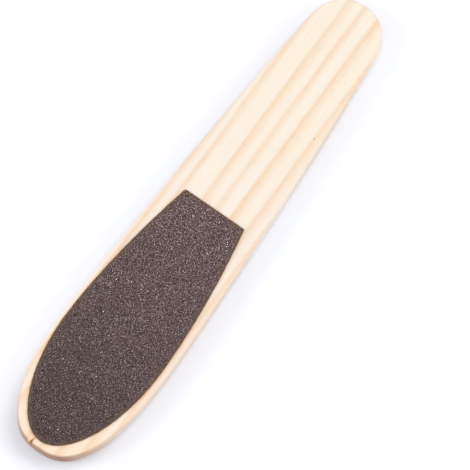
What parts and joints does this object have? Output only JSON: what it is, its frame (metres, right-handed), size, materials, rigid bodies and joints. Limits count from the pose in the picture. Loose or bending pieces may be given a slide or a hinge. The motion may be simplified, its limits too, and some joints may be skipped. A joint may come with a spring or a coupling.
{
  "type": "foot file",
  "caption": "Flat wooden foot file with a tapered handle, a coarse abrasive sheet on the front and a finer one on the rear, for smoothing hard skin.",
  "frame": {"origin": "middle of the length and the width, on the plane that the file lies on", "axes": "+X from the filing tip to the handle end, +Z out of the front face, which carries the coarse sheet"},
  "size_m": [0.25, 0.0544, 0.0086],
  "materials": {
    "softwood": "matte",
    "glue": "satin",
    "backing_paper": "matte",
    "coarse_grit": "matte",
    "fine_grit": "matte"
  },
  "bodies": {
    "root": {"wooden_paddle": "softwood", "front_adhesive": "glue", "front_backing": "backing_paper", "front_grit_coat": "coarse_grit", "rear_adhesive": "glue", "rear_backing": "backing_paper", "rear_grit_coat": "fine_grit"}
  },
  "joints": []
}
